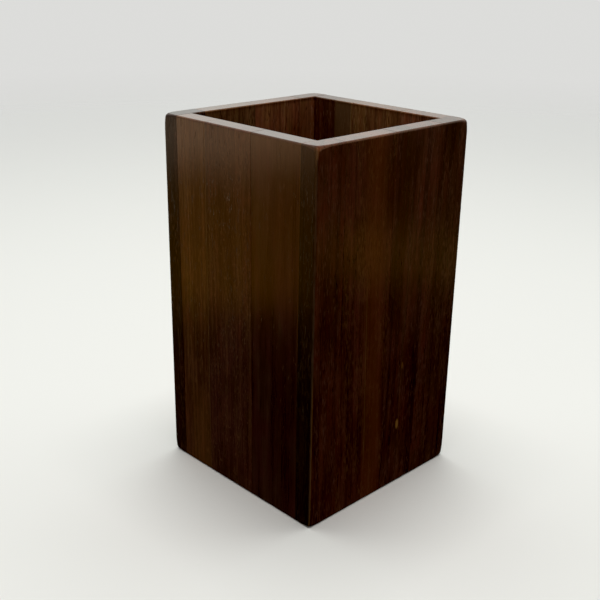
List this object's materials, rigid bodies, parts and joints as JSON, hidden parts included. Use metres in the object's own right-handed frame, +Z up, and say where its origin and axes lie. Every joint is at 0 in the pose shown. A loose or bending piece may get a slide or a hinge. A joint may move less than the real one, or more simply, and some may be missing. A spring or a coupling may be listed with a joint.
{
  "type": "pen holder cup",
  "caption": "Square open-topped desk cup for pens, made of dark hardwood boards edge-glued from upright strips and butt-jointed round an inset bottom.",
  "frame": {"origin": "centre of the flat base that the cup stands on", "axes": "+Z up, out of the open mouth; -Y out of the front wall; -X out of the left wall"},
  "size_m": [0.067, 0.0682, 0.12],
  "materials": {
    "brown_heartwood": "satin clear finish on mid-brown heartwood with long straight grain",
    "golden_heartwood": "satin clear finish on lighter golden-brown heartwood with long straight grain",
    "dark_heartwood": "satin clear finish on dark reddish-brown heartwood with fine flecked grain"
  },
  "bodies": {
    "root": {"front_wall_left_edge_stave": "dark_heartwood", "front_wall_left_stave": "golden_heartwood", "front_wall_right_stave": "dark_heartwood", "front_wall_right_edge_stave": "brown_heartwood", "back_wall_left_edge_stave": "brown_heartwood", "back_wall_left_stave": "golden_heartwood", "back_wall_right_stave": "brown_heartwood", "back_wall_right_edge_stave": "dark_heartwood", "left_wall_front_stave": "brown_heartwood", "left_wall_middle_stave": "brown_heartwood", "left_wall_rear_stave": "golden_heartwood", "right_wall_front_stave": "brown_heartwood", "right_wall_middle_stave": "golden_heartwood", "right_wall_rear_stave": "brown_heartwood", "bottom_left_stave": "brown_heartwood", "bottom_middle_stave": "dark_heartwood", "bottom_right_stave": "brown_heartwood"}
  },
  "joints": []
}
